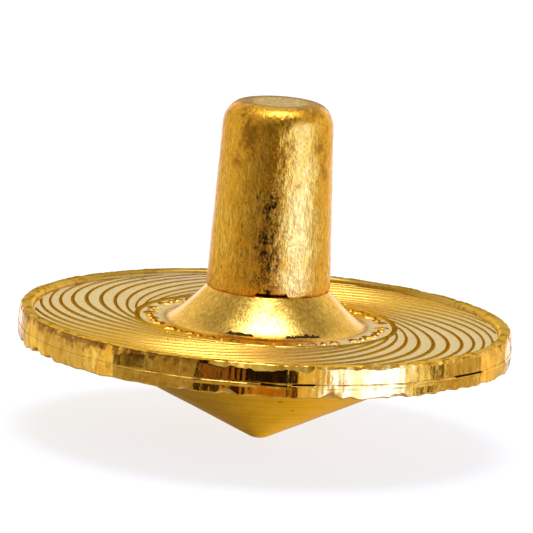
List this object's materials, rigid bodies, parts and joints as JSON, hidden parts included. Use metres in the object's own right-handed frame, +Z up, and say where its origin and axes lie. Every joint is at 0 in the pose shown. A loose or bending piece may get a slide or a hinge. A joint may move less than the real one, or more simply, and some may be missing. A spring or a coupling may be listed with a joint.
{
  "type": "spinning top",
  "caption": "Small solid gold finger-spun top: tapered stem, flat disc with raised rim and spiral lines, and a cone below that it spins on",
  "frame": {"origin": "the point of the cone, where the top touches the surface that it spins on", "axes": "+Z up the stem, along the spin axis; +X and +Y lie in the plane of the disc"},
  "size_m": [0.016, 0.016, 0.011],
  "materials": {
    "stem_gold": "satin",
    "disc_gold": "satin",
    "plate_gold": "polished",
    "cone_gold": "satin",
    "pin_gold": "satin"
  },
  "bodies": {
    "root": {"stem": "stem_gold", "upper_disc": "disc_gold", "lower_disc": "plate_gold", "point_cone": "cone_gold", "centre_pin": "pin_gold"}
  },
  "joints": []
}
